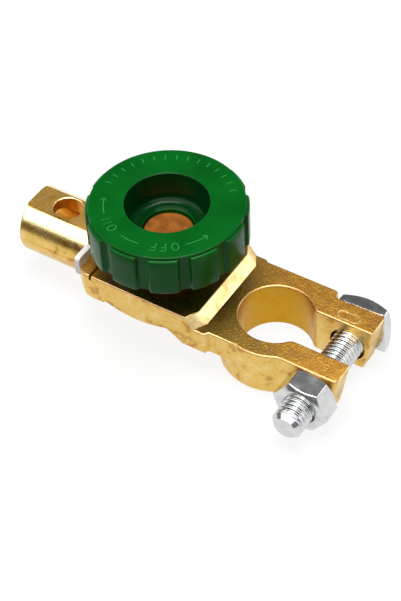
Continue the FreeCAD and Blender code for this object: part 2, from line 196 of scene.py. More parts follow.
castBrassValues = {
    "tints": (
        (0.34, "#E9CB86"),  # where tumbling has rubbed the skin thin
        (0.48, "#E3BD66"), (0.55, "#E3BD66"),  # clean yellow passivation
        (0.66, "#C08E44"),  # heat tint
    ),
    "skinAndShade": ((0.39, "#8C5418"), (0.50, "#C48226"), (0.61, "#DAAA4C")),  # upward faces: the sand-cast skin mottle, painted darker as shade
    "patchMm": 3.4,
    "speckMm": 0.5,  # real sand grain is nearer 0.2, drawn coarser so that it shows
    "patchShare": 0.45,  # how far the patches carry into the skin
    "sideHeightMm": 0.03, "topHeightMm": 0.09,  # grain's relief
    "roughLow": 0.28, "roughHigh": 0.44, "roughFrom": 0.3, "roughTo": 0.7,
    "topFrom": 0.90, "topTo": 0.97,  # upward part of the normal where a face counts as a top
    "slopeBlend": 0.1,
    "rubbedSheen": "#F8E6B4", "rubbedSheenFrom": 0.44, "rubbedSheenTo": 0.58,  # painted highlight and rubbed wear on slopes and the barrel's shoulders
    "rim": "#B88A66", "rimFrom": 0.30, "rimTo": 0.45,  # long rims keep a brown line, where the painted highlight is dimmed
    "knobShade": "#624E10",  # olive painted shade and reflection of the knob between the ramp and the bore, less towards the rear
    "knobShadeFrom": 5.0, "knobShadeTo": -6.0, "knobShadeSlant": 0.7,
    "fleckFrom": 0.50, "fleckTo": 0.64, "fleckShare": 0.3,  # bright flecks break up the painted shade
    "plateFrom": -13.0, "plateTo": -16.0, "plateShare": 0.5,  # the painted shade is lighter on the switch plate
    "stripFrom": -40.0, "stripTo": -44.0,  # no painted shade on the strip beyond the groove
    "bore": "#C28E08", "boreR": 9.7, "boreBlend": 0.4,  # painted reflection: the deeper yellow of light bounced between the bore's brass walls
}
brassFinishes = {  # how much of each effect a casting shows
    "clampBrass": {
        "skinAndShadeShare": 0.8, "boreBounceShare": 0.9, "knobShadeShare": 0.75, "rimShare": 0.9, "slopeFrom": 0.30,
        "rubbedSheenShare": 0.75, "rubbedSheenLow": 0.45,  # its slopes take the rubbed wear and painted highlight in patches
        "polish": 1.0,
    },
    "lugBrass": {
        "skinAndShadeShare": 0.4, "boreBounceShare": 0.0, "knobShadeShare": 0.0, "rimShare": 0.0, "slopeFrom": 0.52,
        # the barrel's shoulders take the painted highlight
        "rubbedSheenShare": 0.95, "rubbedSheenLow": 1.0,
        "polish": 0.7,  # the barrel's round side is smoother
    },
    "markBrass": {
        "skinAndShadeShare": 0.0, "boreBounceShare": 0.0, "knobShadeShare": 0.0, "rimShare": 0.0, "slopeFrom": 0.10,
        "rubbedSheenShare": 0.9, "rubbedSheenLow": 1.0,
        "polish": 1.0,
    },
}


def castBrass(name):
    # Cast and tumbled yellow brass with a thin passivation: gold sides, speckled tops painted darker as
    # shade, the knob's painted shade near the bore, slopes and rims rubbed bright with a painted highlight
    v = {**castBrassValues, **brassFinishes[name]}
    material, tree, shader = newMaterial(name)
    spots = addNode(tree, "ShaderNodeTexCoord").outputs
    place = spots["Object"]
    parts = addNode(tree, "ShaderNodeSeparateXYZ", (place,)).outputs
    facing = addNode(tree, "ShaderNodeSeparateXYZ", (spots["Normal"],)).outputs
    patches = addNode(
        tree, "ShaderNodeTexNoise",
        {"Vector": place, "Scale": perGrain(v["patchMm"]), "Detail": 5.0, "Roughness": 0.6},
    )
    specks = addNode(
        tree, "ShaderNodeTexNoise",
        {"Vector": place, "Scale": perGrain(v["speckMm"]), "Detail": 3.0, "Roughness": 0.6},
    )
    # sides, and the bore's painted reflection
    tints = addNode(tree, "ShaderNodeValToRGB", (patches,), stops=v["tints"])
    flat = addNode(tree, "ShaderNodeVectorMath", (place, (1.0, 1.0, 0.0)), operation="MULTIPLY")
    fromBore = addNode(tree, "ShaderNodeVectorMath", (flat,), operation="LENGTH")
    inBore = addNode(
        tree, "ShaderNodeMapRange",
        (fromBore, v["boreR"] * mm, (v["boreR"] + v["boreBlend"]) * mm, v["boreBounceShare"], 0.0),
    )
    walls = addNode(tree, "ShaderNodeMix", {"Factor": inBore, "A": tints, "B": v["bore"]}, data_type="RGBA")
    # tops: the sand-cast skin, painted darker as shade, and the knob's painted shade over it
    mottle = addNode(tree, "ShaderNodeMix", {"Factor": v["patchShare"], "A": specks, "B": patches})
    skinAndShade = addNode(tree, "ShaderNodeValToRGB", (mottle,), stops=v["skinAndShade"])
    slanted = addNode(
        tree, "ShaderNodeMath", (parts["Y"], v["knobShadeSlant"], parts["X"]), operation="MULTIPLY_ADD"
    )
    isKnobShaded = addNode(
        tree, "ShaderNodeMapRange", (slanted, v["knobShadeFrom"] * mm, v["knobShadeTo"] * mm, 0.0, v["knobShadeShare"])
    )
    onPlate = addNode(
        tree, "ShaderNodeMapRange",
        (parts["X"], v["plateFrom"] * mm, v["plateTo"] * mm, 1.0, v["plateShare"]),
    )
    isStrip = addNode(
        tree, "ShaderNodeMapRange", (parts["X"], v["stripFrom"] * mm, v["stripTo"] * mm, onPlate, 0.0)
    )
    flecked = addNode(
        tree, "ShaderNodeMapRange", (specks, v["fleckFrom"], v["fleckTo"], isKnobShaded, v["fleckShare"])
    )
    isBroken = addNode(tree, "ShaderNodeMath", (isKnobShaded, flecked), operation="MINIMUM")
    knobShadeHere = addNode(tree, "ShaderNodeMath", (isBroken, isStrip), operation="MULTIPLY")
    knobShaded = addNode(
        tree, "ShaderNodeMix", {"Factor": knobShadeHere, "A": skinAndShade, "B": v["knobShade"]}, data_type="RGBA"
    )
    # upward faces take the skin's mottle, painted darker as shade
    isTop = addNode(tree, "ShaderNodeMapRange", (facing["Z"], v["topFrom"], v["topTo"], 0.0, 1.0))
    onTop = addNode(tree, "ShaderNodeMath", (isTop, v["skinAndShadeShare"]), operation="MULTIPLY")
    withTopShade = addNode(tree, "ShaderNodeMix", {"Factor": onTop, "A": walls, "B": knobShaded}, data_type="RGBA")
    # slopes and rims: rubbed wear and painted highlight
    aboveSide = addNode(
        tree, "ShaderNodeMapRange", (facing["Z"], v["slopeFrom"], v["slopeFrom"] + v["slopeBlend"], 0.0, 1.0)
    )
    isSlope = addNode(tree, "ShaderNodeMath", (aboveSide, isTop), operation="SUBTRACT")
    sideways = addNode(tree, "ShaderNodeMath", (facing["Y"],), operation="ABSOLUTE")
    isRim = addNode(tree, "ShaderNodeMapRange", (sideways, v["rimFrom"], v["rimTo"], 0.0, v["rimShare"]))
    wornSheen = addNode(
        tree, "ShaderNodeMix", {"Factor": isRim, "A": v["rubbedSheen"], "B": v["rim"]}, data_type="RGBA"
    )
    rubbedSheenHere = addNode(
        tree, "ShaderNodeMapRange",
        (patches, v["rubbedSheenFrom"], v["rubbedSheenTo"], v["rubbedSheenShare"], v["rubbedSheenShare"] * v["rubbedSheenLow"]),
    )
    isWornSheen = addNode(tree, "ShaderNodeMix", {"Factor": isRim, "A": rubbedSheenHere, "B": 1.0})
    wornSheenSlope = addNode(tree, "ShaderNodeMath", (isSlope, isWornSheen), operation="MULTIPLY")
    color = addNode(tree, "ShaderNodeMix", {"Factor": wornSheenSlope, "A": withTopShade, "B": wornSheen}, data_type="RGBA")
    # polish and grain
    rough = addNode(
        tree, "ShaderNodeMapRange", (specks, v["roughFrom"], v["roughTo"], v["roughHigh"], v["roughLow"])
    )
    gloss = addNode(tree, "ShaderNodeMix", {"Factor": isTop, "A": v["polish"], "B": 1.0})
    burnished = addNode(tree, "ShaderNodeMath", (rough, gloss), operation="MULTIPLY")
    height = addNode(
        tree, "ShaderNodeMix", {"Factor": isTop, "A": v["sideHeightMm"] * mm, "B": v["topHeightMm"] * mm}
    )
    dents = addNode(tree, "ShaderNodeBump", {"Height": specks, "Distance": height})
    setInputs(shader, {"Base Color": color, "Roughness": burnished, "Normal": dents, "Metallic": 1.0})
    return material


turnedBrassValues = {
    "color": "#D8863C", "dark": "#AC6630",
    "drilled": "#ECBC5E", "drilledDark": "#DEA848",  # the casting's own brass, freshly cut
    "cloudMm": 3.0, "darkTo": 0.35, "lightFrom": 0.65,
    "underHubDark": "#3A2A10", "underHubTop": 19.6,  # the contact disc is darker below the hub's bottom
    "ringMm": 0.35,  # tool marks, 0.1 mm on the real screw, drawn wider so that they show
    "ringHeightMm": 0.006, "ringWaver": 0.4,
    "roughness": 0.4,
}


def turnedBrass(name, light, dark, axisX, underHubTop):
    # Brass bar or casting, turned or drilled: warm and even, with fine rings about the tool's axis
    v = turnedBrassValues
    material, tree, shader = newMaterial(name)
    place = addNode(tree, "ShaderNodeTexCoord").outputs["Object"]
    centred = addNode(tree, "ShaderNodeMapping", {"Vector": place, "Location": (-axisX, 0, 0)})
    ringScale = math.pi / (10 * v["ringMm"] * mm)  # the wave repeats every pi / 10
    rings = addNode(
        tree, "ShaderNodeTexWave",
        {"Vector": centred, "Scale": ringScale, "Distortion": v["ringWaver"], "Detail": 1.0},
        wave_type="RINGS", rings_direction="Z",
    )
    clouds = addNode(
        tree, "ShaderNodeTexNoise", {"Vector": place, "Scale": perGrain(v["cloudMm"]), "Detail": 4.0}
    )
    color = addNode(
        tree, "ShaderNodeValToRGB", (clouds,), stops=((v["darkTo"], dark), (v["lightFrom"], light))
    )
    height = addNode(tree, "ShaderNodeSeparateXYZ", (place,)).outputs["Z"]
    # darker below the hub's bottom
    isUnderHub = addNode(tree, "ShaderNodeMath", (height, underHubTop * mm), operation="LESS_THAN")
    darkerUnderHub = addNode(
        tree, "ShaderNodeMix", {"Factor": isUnderHub, "A": color, "B": v["underHubDark"]}, data_type="RGBA"
    )
    bump = addNode(
        tree, "ShaderNodeBump", {"Height": rings.outputs["Fac"], "Distance": v["ringHeightMm"] * mm}
    )
    setInputs(shader, {"Base Color": darkerUnderHub, "Normal": bump, "Metallic": 1.0, "Roughness": v["roughness"]})
    return material


greenPlasticValues = {
    "color": "#005E18", "deep": "#005013",
    "marks": "#2C8A46",  # raised strokes, painted paler as a highlight
    "cloudMm": 9.0, "deepTo": 0.3, "lightFrom": 0.7,
    "shaded": "#00340F", "shadedInner": 6.8, "shadedOuter": 10.55,  # the recess wall looks darker
    "grainMm": 0.5, "grainHeightMm": 0.003,
    "roughness": 0.22,
    "sheen": 0.13,  # level of the surface reflection
}


def greenPlastic(name, light, deep):
    # Moulded gloss ABS: saturated green, even, with a faint orange-peel that wavers the reflections
    v = greenPlasticValues
    material, tree, shader = newMaterial(name)
    place = addNode(tree, "ShaderNodeTexCoord").outputs["Object"]
    clouds = addNode(
        tree, "ShaderNodeTexNoise", {"Vector": place, "Scale": perGrain(v["cloudMm"]), "Detail": 2.0}
    )
    color = addNode(
        tree, "ShaderNodeValToRGB", (clouds,), stops=((v["deepTo"], deep), (v["lightFrom"], light))
    )
    centred = addNode(tree, "ShaderNodeVectorMath", (place, (-knobAxis.x, 0.0, 0.0)), operation="ADD")
    flat = addNode(tree, "ShaderNodeVectorMath", (centred, (1.0, 1.0, 0.0)), operation="MULTIPLY")
    fromAxis = addNode(tree, "ShaderNodeVectorMath", (flat,), operation="LENGTH")
    beyondLip = addNode(tree, "ShaderNodeMath", (fromAxis, v["shadedInner"] * mm), operation="GREATER_THAN")
    withinWall = addNode(tree, "ShaderNodeMath", (fromAxis, v["shadedOuter"] * mm), operation="LESS_THAN")
    isShaded = addNode(tree, "ShaderNodeMath", (beyondLip, withinWall), operation="MULTIPLY")
    tinted = addNode(
        tree, "ShaderNodeMix", {"Factor": isShaded, "A": color, "B": v["shaded"]}, data_type="RGBA"
    )
    peel = addNode(
        tree, "ShaderNodeTexNoise", {"Vector": place, "Scale": perGrain(v["grainMm"]), "Detail": 2.0}
    )
    bump = addNode(tree, "ShaderNodeBump", {"Height": peel, "Distance": v["grainHeightMm"] * mm})
    setInputs(shader, {
        "Base Color": tinted, "Normal": bump, "Roughness": v["roughness"], "Specular IOR Level": v["sheen"],
    })
    return material


whiteNylonValues = {
    "color": "#FAF4F0", "grainMm": 0.3, "grainHeightMm": 0.006, "roughness": 0.42, "ior": 1.53,
    "waxShare": 0.3, "waxMm": 1.0, "waxReach": (1.0, 0.9, 0.8),  # light enters a little way, red the furthest
}


def whiteNylon():
    # Moulded natural nylon: warm white, satin, slightly waxy
    v = whiteNylonValues
    material, tree, shader = newMaterial("whiteNylon")
    place = addNode(tree, "ShaderNodeTexCoord").outputs["Object"]
    grain = addNode(
        tree, "ShaderNodeTexNoise", {"Vector": place, "Scale": perGrain(v["grainMm"]), "Detail": 3.0}
    )
    bump = addNode(tree, "ShaderNodeBump", {"Height": grain, "Distance": v["grainHeightMm"] * mm})
    setInputs(shader, {
        "Base Color": v["color"], "Normal": bump, "Roughness": v["roughness"], "IOR": v["ior"],
        "Subsurface Weight": v["waxShare"], "Subsurface Radius": v["waxReach"],
        "Subsurface Scale": v["waxMm"] * mm,
    })
    return material


zincPlateValues = {
    "color": "#D9DAD6",
    "blue": "#C9CBD0",  # faint blue of the clear passivation
    "patchMm": 2.5, "blueTo": 0.38, "plainFrom": 0.6,
    "grainMm": 0.25, "grainHeightMm": 0.004,
    "roughLow": 0.12, "roughHigh": 0.22, "roughFrom": 0.3, "roughTo": 0.7,
    "rolled": "#C6C8C9", "rolledLow": 0.36, "rolledHigh": 0.44,  # the thread's flanks hold less polish
}


def zincPlate(name, color, roughLow, roughHigh):
    # Bright zinc plate on forged and rolled steel: silver, clear passivated, mirror-like with fine scratches
    v = zincPlateValues
    material, tree, shader = newMaterial(name)
    place = addNode(tree, "ShaderNodeTexCoord").outputs["Object"]
    patches = addNode(
        tree, "ShaderNodeTexNoise", {"Vector": place, "Scale": perGrain(v["patchMm"]), "Detail": 4.0}
    )
    tint = addNode(
        tree, "ShaderNodeValToRGB", (patches,), stops=((v["blueTo"], v["blue"]), (v["plainFrom"], color))
    )
    rough = addNode(tree, "ShaderNodeMapRange", (patches, v["roughFrom"], v["roughTo"], roughLow, roughHigh))
    grain = addNode(
        tree, "ShaderNodeTexNoise", {"Vector": place, "Scale": perGrain(v["grainMm"]), "Detail": 2.0}
    )
    bump = addNode(tree, "ShaderNodeBump", {"Height": grain, "Distance": v["grainHeightMm"] * mm})
    setInputs(shader, {"Base Color": tint, "Roughness": rough, "Normal": bump, "Metallic": 1.0})
    return material


clampBrassMaterial, lugBrassMaterial, markBrassMaterial = (castBrass(name) for name in brassFinishes)
turned = turnedBrassValues
turnedBrassMaterial = turnedBrass(
    "turnedBrass", turned["color"], turned["dark"], knobAxis.x, turned["underHubTop"]
)
green = greenPlasticValues
greenPlasticMaterial = greenPlastic("greenPlastic", green["color"], green["deep"])
# the marks' paler green is a painted highlight
markHighlightMaterial = greenPlastic("greenMarksHighlight", green["marks"], green["marks"])
whiteNylonMaterial = whiteNylon()
zinc = zincPlateValues
zincPlateMaterial = zincPlate("zincPlate", zinc["color"], zinc["roughLow"], zinc["roughHigh"])
rolledZincMaterial = zincPlate("rolledZinc", zinc["rolled"], zinc["rolledLow"], zinc["rolledHigh"])
print("materials made")


# Castings and insulator: the CAD shape, its hard edges softened as a mould leaves them

softValues = {
    "mergeMm": 0.002, "flatDeg": 0.8,  # a CAD mesh is loose triangles, joined and cleared of flat edges first
    "rimMm": 0.03, "rimSegments": 3,
    "fromDeg": 32, "sharpDeg": 34,
}
castingValues = {"edgeMm": 0.22, "segments": 2}
insulatorValues = {"edgeMm": 0.15, "segments": 2}


def softCopy(node, name, edgeMm, segments, countersink=None):
    v = softValues
    bm = bmesh.new()
    bm.from_mesh(nodes[node].data)
    bmesh.ops.remove_doubles(bm, verts=bm.verts, dist=v["mergeMm"] * mm)
    bmesh.ops.dissolve_limit(bm, angle_limit=math.radians(v["flatDeg"]), verts=bm.verts, edges=bm.edges)
    if countersink:
        axisX, radius, height, width = countersink
        near = v["rimMm"] * mm
        onRim = {
            vert for vert in bm.verts
            if abs(math.hypot(vert.co.x - axisX, vert.co.y) - radius) < near
            and abs(vert.co.z - height) < near
        }
        rim = [edge for edge in bm.edges if set(edge.verts) <= onRim]
        bmesh.ops.bevel(
            bm, geom=rim, offset=width, offset_type="OFFSET", segments=v["rimSegments"], profile=0.5,
            affect="EDGES", clamp_overlap=False,
        )
    piece = newObject(name, freshMesh(bm, name))
    return roundEdges(piece, edgeMm, segments, v["fromDeg"], v["sharpDeg"])


clampCasting = softCopy("clamp_casting", "clampCasting", **castingValues)
dress(clampCasting, clampBrassMaterial)
finishPiece(clampCasting, "castings", "cast_brass", "clamp_casting")

barrelValues = {
    "holeInset": 10.1, "holeR": 3.85, "flatZ": 19.3, "countersinkMm": 0.4,  # set-screw hole in the flat
    "boreR": 5.0, "boreReach": 20.1,  # cable bore, the reach ends beyond its blind end
    "wallMm": 0.15, "wallSlope": 0.5,  # how a face is known as a drilled wall
    "partingZ": 11.5, "partingR": 8.8, "partingMm": 0.07, "partingLengthMm": 19.0,
}
holeX = barrelLow.x + barrelValues["holeInset"] * mm
holeRim = [barrelValues[size] * mm for size in ("holeR", "flatZ", "countersinkMm")]
lugCasting = softCopy("lug_casting", "lugCasting", **castingValues, countersink=(holeX, *holeRim))
dress(lugCasting, lugBrassMaterial)


def drillFinish():
    # the set-screw hole and the cable bore are cut after casting, so their walls are clean and warmer
    v = barrelValues
    drilled = turnedBrass("drilledBrass", turned["drilled"], turned["drilledDark"], holeX, 0.0)
    lugCasting.data.materials.append(drilled)
    axisZ = v["partingZ"] * mm
    for face in lugCasting.data.polygons:
        spot = face.center
        nearHole = math.hypot(spot.x - holeX, spot.y) < (v["holeR"] + v["wallMm"]) * mm
        inHole = nearHole and spot.z > axisZ and abs(face.normal.z) < v["wallSlope"]
        nearBore = math.hypot(spot.y, spot.z - axisZ) < (v["boreR"] + v["wallMm"]) * mm
        if inHole or (nearBore and spot.x < barrelLow.x + v["boreReach"] * mm):
            face.material_index = 1


drillFinish()
finishPiece(lugCasting, "castings", "cast_brass", "lug_casting")

insulatorTray = softCopy("insulator", "insulatorTray", **insulatorValues)
dress(insulatorTray, whiteNylonMaterial)
finishPiece(insulatorTray, "castings", "white_nylon", "insulator")
print("castings done:", len(clampCasting.data.polygons), "and", len(lugCasting.data.polygons), "faces")


# Knob: a turned profile, lobed and ribbed by geometry nodes

knobValues = {
    "gripR": 20.0, "lobes": 12, "crestDeg": 19.0, "cornerDeg": 2.4, "hollowMm": 1.15,  # lobed grip
    "bottom": 24.7, "top": 36.0, "bottomRound": 0.5, "crestRound": 0.6, "smallEdge": 0.3,
    "capR": 19.25, "capHeight": 0.7, "capRound": 0.3, "seam": 0.02,  # plain cap above the lobes
    "recessR": 10.4, "recessFloorR": 10.0, "recessFloor": 27.8, "rimRound": 0.3, "floorRound": 1.8,
    "lipR": 7.5, "lipHeight": 0.35, "lipSlope": 0.4, "boreR": 6.6,  # round the contact screw's head
    "hubR": 11.5, "hubBottom": 19.55,
    "pocketInner": 13.0, "pocketOuter": 16.25, "pocketTop": 33.2,  # moulded out from below
    "ribs": 6, "ribMm": 1.6, "ribRoot": 0.2,
    "segments": 720, "wallSteps": 5, "topSteps": 3, "roundSteps": 4, "floorSteps": 6, "footSteps": 3,
    "sharpDeg": 40,
}


def arcPoints(centre, radius, startDeg, endDeg, steps):
    angles = [math.radians(startDeg + (endDeg - startDeg) * i / steps) for i in range(steps + 1)]
    return [(centre[0] + radius * math.cos(a), centre[1] + radius * math.sin(a)) for a in angles]


def straight(start, end, steps):
    return [
        (start[0] + (end[0] - start[0]) * i / steps, start[1] + (end[1] - start[1]) * i / steps)
        for i in range(1, steps)
    ]


def skinRows(bm, rows, isClosed=True):
    # faces between each row and the next, all the way round
    for row, after in zip(rows, rows[1:] + rows[:1]):
        for i in range(len(row) if isClosed else len(row) - 1):
            j = (i + 1) % len(row)
            bm.faces.new((row[i], after[i], after[j], row[j]))


def turnedMesh(name, profile, segments):
    bm = bmesh.new()
    rows = []
    for step in range(segments):
        angle = math.tau * step / segments
        rows.append([
            bm.verts.new((r * mm * math.cos(angle), r * mm * math.sin(angle), z * mm)) for r, z in profile
        ])
    skinRows(bm, rows)
    bmesh.ops.recalc_face_normals(bm, faces=bm.faces)
    return freshMesh(bm, name)


def knobProfile():
    v = knobValues
    grip, cap, top, low = v["gripR"], v["capR"], v["top"], v["bottom"]
    crestTop = top - v["capHeight"]
    crest, capEdge, lower, edge = v["crestRound"], v["capRound"], v["bottomRound"], v["smallEdge"]
    steps = v["roundSteps"]
    profile = [(grip, low + lower)]
    profile += straight((grip, low + lower), (grip, crestTop - crest), v["wallSteps"])
    profile += arcPoints((grip - crest, crestTop - crest), crest, 0, 90, steps)
    profile += [(cap, crestTop), (cap, crestTop + v["seam"])]
    profile += arcPoints((cap - capEdge, top - capEdge), capEdge, 0, 90, steps)
    rimR = v["recessR"] + v["rimRound"]
    profile += straight((cap - capEdge, top), (rimR, top), v["topSteps"])
    profile += arcPoints((rimR, top - v["rimRound"]), v["rimRound"], 90, 180, steps)
    floor, turn = v["recessFloor"], v["floorRound"]
    profile += arcPoints((v["recessFloorR"] - turn, floor + turn), turn, 0, -90, v["floorSteps"])
    lip, lipTop, bore = v["lipR"], floor + v["lipHeight"], v["boreR"]
    profile += [(lip + v["lipSlope"], floor), (lip, lipTop), (lip - edge, lipTop)]
    hub, hubLow = v["hubR"], v["hubBottom"]
    profile += [(bore, floor - edge), (bore, hubLow), (hub - edge, hubLow), (hub, hubLow + edge)]
    inner, outer, pocketTop = v["pocketInner"], v["pocketOuter"], v["pocketTop"]
    profile += [(hub, low - edge), (hub + edge, low), (inner - edge, low), (inner, low + edge)]
    profile += [(inner, pocketTop - edge), (inner + edge, pocketTop), (outer - edge, pocketTop)]
    profile += [(outer, pocketTop - edge), (outer, low + edge), (outer + edge, low), (grip - lower, low)]
    profile += arcPoints((grip - lower, low + lower), lower, -90, 0, v["footSteps"])[1:-1]
    return profile


def lobedTree(labels):
    tree, size = newTree("lobedGrip", labels)
    # the grip's wall is pulled in between the crests
    place = addNode(tree, "GeometryNodeInputPosition")
    parts = addNode(tree, "ShaderNodeSeparateXYZ", (place,)).outputs
    angle = addNode(tree, "ShaderNodeMath", (parts["Y"], parts["X"]), operation="ARCTAN2")
    flat = addNode(tree, "ShaderNodeVectorMath", (place, (1.0, 1.0, 0.0)), operation="MULTIPLY")
    radius = addNode(tree, "ShaderNodeVectorMath", (flat,), operation="LENGTH")
    halfPitch = addNode(tree, "ShaderNodeMath", (math.pi, size["Lobes"]), operation="DIVIDE")
    fromCrest = addNode(tree, "ShaderNodeMath", (angle, halfPitch), operation="PINGPONG")
    halfCrest = addNode(tree, "ShaderNodeMath", (size["Crest"], 0.5), operation="MULTIPLY")
    cornerEnd = addNode(tree, "ShaderNodeMath", (halfCrest, size["Corner"]), operation="ADD")
    hollow = addNode(
        tree, "ShaderNodeMapRange", (fromCrest, halfCrest, cornerEnd, 0.0, 1.0),
        interpolation_type="SMOOTHSTEP",
    )
    belowCap = addNode(tree, "ShaderNodeMath", (parts["Z"], size["Crest top"]), operation="LESS_THAN")
    isHollow = addNode(tree, "ShaderNodeMath", (hollow, belowCap), operation="MULTIPLY")
    inner = addNode(tree, "ShaderNodeMath", (size["Grip radius"], size["Hollow"]), operation="SUBTRACT")
    fromInner = addNode(tree, "ShaderNodeMath", (radius, inner), operation="SUBTRACT")
    beyond = addNode(tree, "ShaderNodeMath", (fromInner, 0.0), operation="MAXIMUM")
    pull = addNode(tree, "ShaderNodeMath", (beyond, isHollow), operation="MULTIPLY")
    pulledIn = addNode(tree, "ShaderNodeMath", (radius, pull), operation="SUBTRACT")
    share = addNode(tree, "ShaderNodeMath", (pulledIn, radius), operation="DIVIDE")
    shares = addNode(tree, "ShaderNodeCombineXYZ", (share, share, 1.0))
    moved = addNode(tree, "ShaderNodeVectorMath", (place, shares), operation="MULTIPLY")
    grip = addNode(tree, "GeometryNodeSetPosition", {"Geometry": size["Geometry"], "Position": moved})
    # the ribs stand across the pocket below
    ribLength = addNode(tree, "ShaderNodeMath", (size["Rib outer"], size["Rib inner"]), operation="SUBTRACT")
    ribHeight = addNode(tree, "ShaderNodeMath", (size["Rib top"], size["Rib bottom"]), operation="SUBTRACT")
    ribSize = addNode(tree, "ShaderNodeCombineXYZ", (ribLength, size["Rib thickness"], ribHeight))
    rib = addNode(tree, "GeometryNodeMeshCube", {"Size": ribSize})
    ribX = addNode(tree, "ShaderNodeMath", (ribLength, 0.5, size["Rib inner"]), operation="MULTIPLY_ADD")
    ribZ = addNode(tree, "ShaderNodeMath", (ribHeight, 0.5, size["Rib bottom"]), operation="MULTIPLY_ADD")
    ribPlace = addNode(tree, "ShaderNodeCombineXYZ", (ribX, 0.0, ribZ))
    ribMoved = addNode(tree, "GeometryNodeTransform", {"Geometry": rib, "Translation": ribPlace})
    hubPoints = addNode(tree, "GeometryNodePoints", {"Count": size["Ribs"]})
    index = addNode(tree, "GeometryNodeInputIndex")
    midway = addNode(tree, "ShaderNodeMath", (index, 0.5), operation="ADD")
    ribPitch = addNode(tree, "ShaderNodeMath", (math.tau, size["Ribs"]), operation="DIVIDE")
    turn = addNode(tree, "ShaderNodeMath", (midway, ribPitch), operation="MULTIPLY")
    spin = addNode(tree, "ShaderNodeCombineXYZ", (0.0, 0.0, turn))
    ribs = addNode(
        tree, "GeometryNodeInstanceOnPoints", {"Points": hubPoints, "Instance": ribMoved, "Rotation": spin}
    )
    joined = addNode(tree, "GeometryNodeJoinGeometry", (ribs,))
    setInputs(joined, (grip,))
    closeTree(tree, size, joined)
    return tree


def makeKnob():
    v = knobValues
    knob = newObject("knobGrip", turnedMesh("knobGrip", knobProfile(), v["segments"]))
    sizes = {
        "Lobes": float(v["lobes"]),
        "Crest": math.radians(v["crestDeg"]), "Corner": math.radians(v["cornerDeg"]),
        "Hollow": v["hollowMm"] * mm, "Grip radius": v["gripR"] * mm,
        "Crest top": (v["top"] - v["capHeight"] + v["seam"] / 2) * mm,
        "Ribs": float(v["ribs"]), "Rib thickness": v["ribMm"] * mm,
        "Rib inner": (v["pocketInner"] - v["ribRoot"]) * mm,
        "Rib outer": (v["pocketOuter"] + v["ribRoot"]) * mm,
        "Rib bottom": v["bottom"] * mm, "Rib top": (v["pocketTop"] + v["ribRoot"]) * mm,
    }
    runTree(knob, lobedTree(sizes), sizes, greenPlasticMaterial)
    knob.data.transform(Matrix.Translation(knobAxis))
    smoothAll(knob, v["sharpDeg"])
    finishPiece(knob, "knob", "green_plastic", "knob")
    return knob


knobGrip = makeKnob()
print("knob done:", len(knobGrip.data.polygons), "faces")


# Raised strokes on the knob's top: ON, OFF, turn arrows and plain graduation ticks

markValues = {
    "strokeMm": 0.21, "sunkShare": 0.7, "sharpDeg": 50,
    "baseR": 14.3, "height": 2.4, "width": 1.9,
    "lettering": (("O", -49.6), ("F", -60.4), ("F", -69.4), ("O", -114.8), ("N", -125.0)),
    "lineR": 15.4, "stepDeg": 2,
    "lines": ((-40.3, -18.0, True), (-82.4, -101.7, False), (-135.7, -156.0, True)),  # from, to, arrowhead
    "headDeg": 3.6, "headOut": 0.9, "headIn": 0.7,
    "tickFrom": 45.0, "tickTo": 184.0, "ticks": 15, "tickInner": 15.6, "tickOuter": 17.2,
}
ovalTurns = [math.tau * step / 20 for step in range(21)]
letters = {  # strokes across and up a box of 1 by 1
    "O": [[(0.5 + 0.42 * math.cos(turn), 0.5 + 0.5 * math.sin(turn)) for turn in ovalTurns]],
    "F": [[(0.15, 0.0), (0.15, 1.0), (0.85, 1.0)], [(0.15, 0.55), (0.72, 0.55)]],
    "N": [[(0.1, 0.0), (0.1, 1.0), (0.9, 0.0), (0.9, 1.0)]],
}


def ringSpot(radius, degrees):
    angle = math.radians(degrees)
    return Vector((knobAxis.x + radius * mm * math.cos(angle), radius * mm * math.sin(angle), knobHigh.z))


def letterStrokes(letter, degrees):
    v = markValues
    strokes = []
    for line in letters[letter]:
        points = []
        for across, upward in line:
            shift = math.degrees((across - 0.5) * v["width"] / (v["baseR"] + v["height"] / 2))
            points.append(ringSpot(v["baseR"] + upward * v["height"], degrees - shift))
        strokes.append(points)
    return strokes


def lineStrokes(startDeg, endDeg, hasHead):
    v = markValues
    radius = v["lineR"]
    steps = int(abs(endDeg - startDeg) / v["stepDeg"])
    strokes = [[ringSpot(radius, startDeg + (endDeg - startDeg) * i / steps) for i in range(steps + 1)]]
    if hasHead:
        headStart = endDeg - math.copysign(v["headDeg"], endDeg - startDeg)
        for barbR in (radius + v["headOut"], radius - v["headIn"]):
            strokes.append([ringSpot(barbR, headStart), ringSpot(radius, endDeg)])
    return strokes


def strokesPiece(name, strokes, strokeMm, material):
    curve = bpy.data.curves.new(name, "CURVE")
    curve.dimensions = "3D"
    curve.bevel_depth = strokeMm * mm
    curve.bevel_resolution = 1
    curve.use_fill_caps = True
    for points in strokes:
        line = curve.splines.new("POLY")
        line.points.add(len(points) - 1)
        for point, spot in zip(line.points, points):
            point.co = (*spot, 1.0)
    drawn = newObject(name, curve)
    mesh = finalMesh(drawn)
    bpy.data.objects.remove(drawn)
    piece = newObject(name, mesh)
    dress(piece, material)
    return smoothAll(piece, markValues["sharpDeg"])


def makeMarks():
    v = markValues
    strokes = []
    for letter, degrees in v["lettering"]:
        strokes += letterStrokes(letter, degrees)
    for line in v["lines"]:
        strokes += lineStrokes(*line)
    for tick in range(v["ticks"]):
        degrees = v["tickFrom"] + (v["tickTo"] - v["tickFrom"]) * tick / (v["ticks"] - 1)
        strokes.append([ringSpot(v["tickInner"], degrees), ringSpot(v["tickOuter"], degrees)])
    marks = strokesPiece("knobMarks", strokes, v["strokeMm"], markHighlightMaterial)
    marks.data.transform(Matrix.Translation((0, 0, -v["strokeMm"] * mm * v["sunkShare"])))
    finishPiece(marks, "knob", "green_plastic")


makeMarks()
print("marks done")


# Clamp bolt and nut: square head, hexagon nut, corners turned off, and a rolled M8 thread

